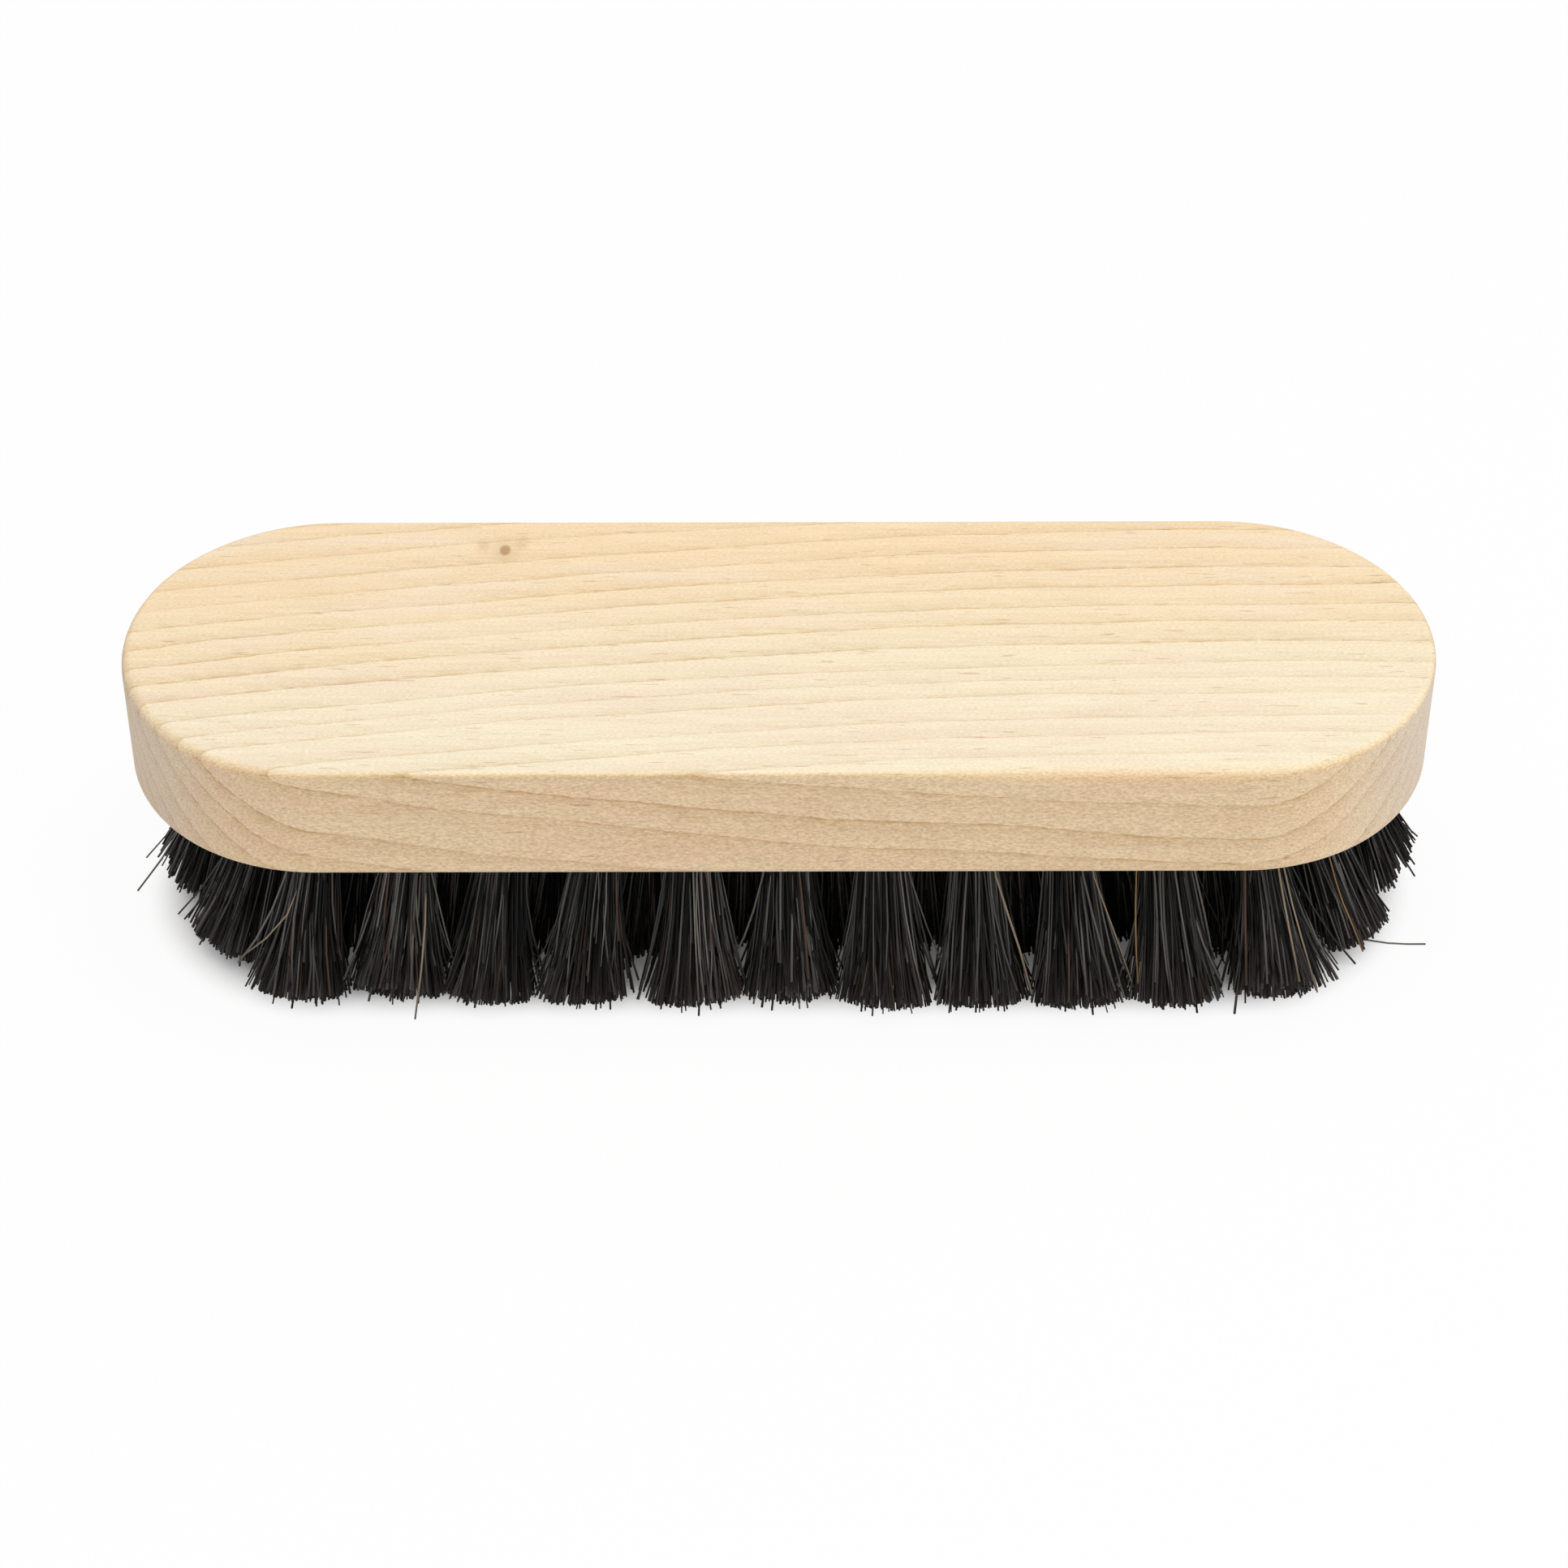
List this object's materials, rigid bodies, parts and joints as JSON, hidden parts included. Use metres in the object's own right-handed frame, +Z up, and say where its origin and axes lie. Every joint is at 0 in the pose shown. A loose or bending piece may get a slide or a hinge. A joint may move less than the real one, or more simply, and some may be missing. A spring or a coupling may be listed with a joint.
{
  "type": "shoe shine brush",
  "caption": "Shoe shine brush: a flat wooden block with fully rounded ends, drilled from below in staggered rows, with a fanned tuft of dark horsehair stapled into every hole.",
  "frame": {"origin": "on the floor plane that the hair tips stand on, under the centre of the block", "axes": "+X along the block towards the picture's right, +Y across it away from the camera, +Z up through the block"},
  "size_m": [0.1714, 0.0526, 0.042],
  "materials": {
    "wood": "pale hardwood, finely sanded, thin satin seal",
    "horsehair": "dark horsehair with a soft grey sheen and a few brown and blond hairs",
    "staple_steel": "plain drawn steel wire"
  },
  "bodies": {
    "root": {"block": "wood", "end_tufts": "horsehair", "staples": "staple_steel", "tuft_a01": "horsehair", "tuft_a02": "horsehair", "tuft_a03": "horsehair", "tuft_a04": "horsehair", "tuft_a05": "horsehair", "tuft_a06": "horsehair", "tuft_a07": "horsehair", "tuft_a08": "horsehair", "tuft_a09": "horsehair", "tuft_a10": "horsehair", "tuft_a11": "horsehair", "tuft_b01": "horsehair", "tuft_b02": "horsehair", "tuft_b03": "horsehair", "tuft_b04": "horsehair", "tuft_b05": "horsehair", "tuft_b06": "horsehair", "tuft_b07": "horsehair", "tuft_b08": "horsehair", "tuft_b09": "horsehair", "tuft_b10": "horsehair", "tuft_b11": "horsehair", "tuft_b12": "horsehair", "tuft_c02": "horsehair", "tuft_c03": "horsehair", "tuft_c04": "horsehair", "tuft_c05": "horsehair", "tuft_c06": "horsehair", "tuft_c07": "horsehair", "tuft_c08": "horsehair", "tuft_c09": "horsehair", "tuft_c10": "horsehair", "tuft_c11": "horsehair", "tuft_c12": "horsehair", "tuft_d01": "horsehair", "tuft_d02": "horsehair", "tuft_d03": "horsehair", "tuft_d04": "horsehair", "tuft_d05": "horsehair", "tuft_d06": "horsehair", "tuft_d07": "horsehair", "tuft_d08": "horsehair", "tuft_d09": "horsehair", "tuft_d10": "horsehair", "tuft_d11": "horsehair", "tuft_d12": "horsehair", "tuft_e01": "horsehair", "tuft_e02": "horsehair", "tuft_e03": "horsehair", "tuft_e04": "horsehair", "tuft_e05": "horsehair", "tuft_e06": "horsehair", "tuft_e07": "horsehair", "tuft_e08": "horsehair", "tuft_e09": "horsehair", "tuft_e10": "horsehair", "tuft_e11": "horsehair"}
  },
  "joints": []
}
